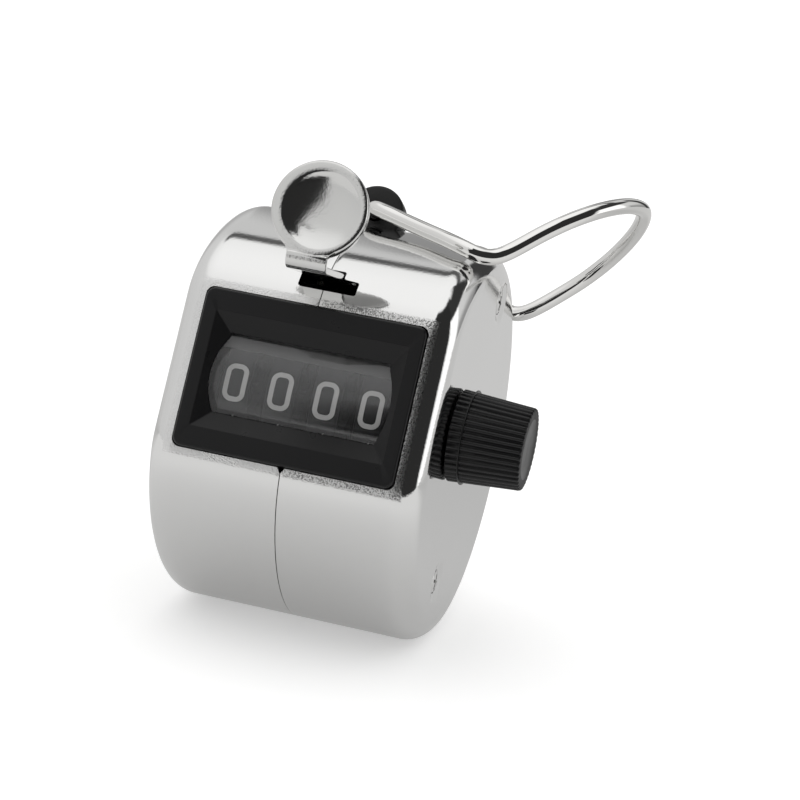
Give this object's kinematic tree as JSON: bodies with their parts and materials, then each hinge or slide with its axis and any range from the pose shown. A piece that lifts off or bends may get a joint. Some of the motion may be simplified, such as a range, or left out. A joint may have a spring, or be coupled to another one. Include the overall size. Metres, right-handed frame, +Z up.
{
  "type": "hand tally counter",
  "caption": "Round chrome hand tally counter: drum case with a bezelled number window, thumb lever, side reset knob and a swinging wire finger ring.",
  "frame": {"origin": "middle of the drum's flat left side face, on the drum's centre line", "axes": "+X across the drum towards the reset knob, -Y towards the number window's side, +Z up; the window is laid back 20 degrees so that it faces slightly upwards"},
  "size_m": [0.0442, 0.0451, 0.0535],
  "materials": {
    "case_chrome": "bright nickel-chrome plate, slightly satin",
    "polished_chrome": "polished chrome plate",
    "screw_chrome": "plated screw head",
    "bezel_plastic": "black satin-gloss moulding",
    "lens_clear": "clear moulded lens",
    "wheel_plastic": "dark grey moulding with light grey numerals",
    "pinion_plastic": "natural nylon",
    "plain_steel": "plain bright steel",
    "spring_steel": "spring steel",
    "brass": "turned brass",
    "knob_plastic": "black matte ribbed moulding",
    "barrel_plastic": "black matte moulding"
  },
  "bodies": {
    "case": {"case_left": "case_chrome", "case_right": "case_chrome", "window_bezel": "bezel_plastic", "window_lens": "lens_clear", "frame_plate_left": "plain_steel", "frame_plate_right": "plain_steel", "frame_post_1": "plain_steel", "frame_post_2": "plain_steel", "frame_post_3": "plain_steel", "case_screw_right_1": "screw_chrome", "case_screw_right_2": "screw_chrome", "case_screw_right_3": "screw_chrome", "case_screw_left_1": "screw_chrome", "case_screw_left_2": "screw_chrome", "case_screw_left_3": "screw_chrome", "pinion_shaft": "plain_steel", "lever_pivot_pin": "plain_steel", "lever_return_spring": "spring_steel", "detent_spring": "spring_steel", "knob_friction_washer": "brass", "ring_pivot_barrel": "barrel_plastic"},
    "lever": {"thumb_lever": "polished_chrome", "pawl_pin": "plain_steel", "pawl_spring": "spring_steel"},
    "pawl": {"drive_pawl": "plain_steel"},
    "reset": {"reset_knob": "knob_plastic", "wheel_shaft": "plain_steel", "shaft_circlip": "spring_steel"},
    "units_wheel": {"number_wheel_units": "wheel_plastic", "ratchet_wheel": "brass"},
    "tens_wheel": {"number_wheel_tens": "wheel_plastic"},
    "hundreds_wheel": {"number_wheel_hundreds": "wheel_plastic"},
    "thousands_wheel": {"number_wheel_thousands": "wheel_plastic"},
    "carry_pinion_1": {"transfer_pinion_1": "pinion_plastic"},
    "carry_pinion_2": {"transfer_pinion_2": "pinion_plastic"},
    "carry_pinion_3": {"transfer_pinion_3": "pinion_plastic"},
    "ring": {"finger_ring": "polished_chrome"}
  },
  "joints": [
    {"name": "lever_press", "type": "hinge", "parent": "case", "child": "lever", "pos_m": [0.015, -0.0071, 0.01791], "axis": [1, 0, 0], "range_deg": [0, 7.5], "stiffness_Nm_per_rad": 0.01},
    {"name": "pawl_swing", "type": "hinge", "parent": "lever", "child": "pawl", "pos_m": [0.0254, -0.01395, 0.00933], "axis": [1, 0, 0], "range_deg": [-8, 0.5]},
    {"name": "reset_knob_turn", "type": "hinge", "parent": "case", "child": "reset", "pos_m": [0.034, -0.00927, 0.00348], "axis": [1, 0, 0], "continuous": true},
    {"name": "units_wheel_spin", "type": "hinge", "parent": "case", "child": "units_wheel", "pos_m": [0.0225, -0.00927, 0.00348], "axis": [-1, 0, 0], "continuous": true},
    {"name": "tens_wheel_spin", "type": "hinge", "parent": "case", "child": "tens_wheel", "pos_m": [0.0175, -0.00927, 0.00348], "axis": [-1, 0, 0], "continuous": true},
    {"name": "hundreds_wheel_spin", "type": "hinge", "parent": "case", "child": "hundreds_wheel", "pos_m": [0.0125, -0.00927, 0.00348], "axis": [-1, 0, 0], "continuous": true},
    {"name": "thousands_wheel_spin", "type": "hinge", "parent": "case", "child": "thousands_wheel", "pos_m": [0.0075, -0.00927, 0.00348], "axis": [-1, 0, 0], "continuous": true},
    {"name": "carry_pinion_1_spin", "type": "hinge", "parent": "case", "child": "carry_pinion_1", "pos_m": [0.02, -0.00284, -0.00569], "axis": [-1, 0, 0], "continuous": true},
    {"name": "carry_pinion_2_spin", "type": "hinge", "parent": "case", "child": "carry_pinion_2", "pos_m": [0.015, -0.00284, -0.00569], "axis": [-1, 0, 0], "continuous": true},
    {"name": "carry_pinion_3_spin", "type": "hinge", "parent": "case", "child": "carry_pinion_3", "pos_m": [0.01, -0.00284, -0.00569], "axis": [-1, 0, 0], "continuous": true},
    {"name": "ring_swing", "type": "hinge", "parent": "case", "child": "ring", "pos_m": [0.015, 0.00789, 0.0211], "axis": [0, -0.9092, 0.4163], "range_deg": [0, 200]}
  ],
  "couplings": [
    {"joint": "pawl_swing", "follows": "lever_press", "ratio": -0.617},
    {"joint": "tens_wheel_spin", "follows": "units_wheel_spin", "ratio": 0.1},
    {"joint": "hundreds_wheel_spin", "follows": "units_wheel_spin", "ratio": 0.01},
    {"joint": "thousands_wheel_spin", "follows": "units_wheel_spin", "ratio": 0.001},
    {"joint": "carry_pinion_1_spin", "follows": "units_wheel_spin", "ratio": -0.25},
    {"joint": "carry_pinion_2_spin", "follows": "units_wheel_spin", "ratio": -0.025},
    {"joint": "carry_pinion_3_spin", "follows": "units_wheel_spin", "ratio": -0.0025}
  ]
}
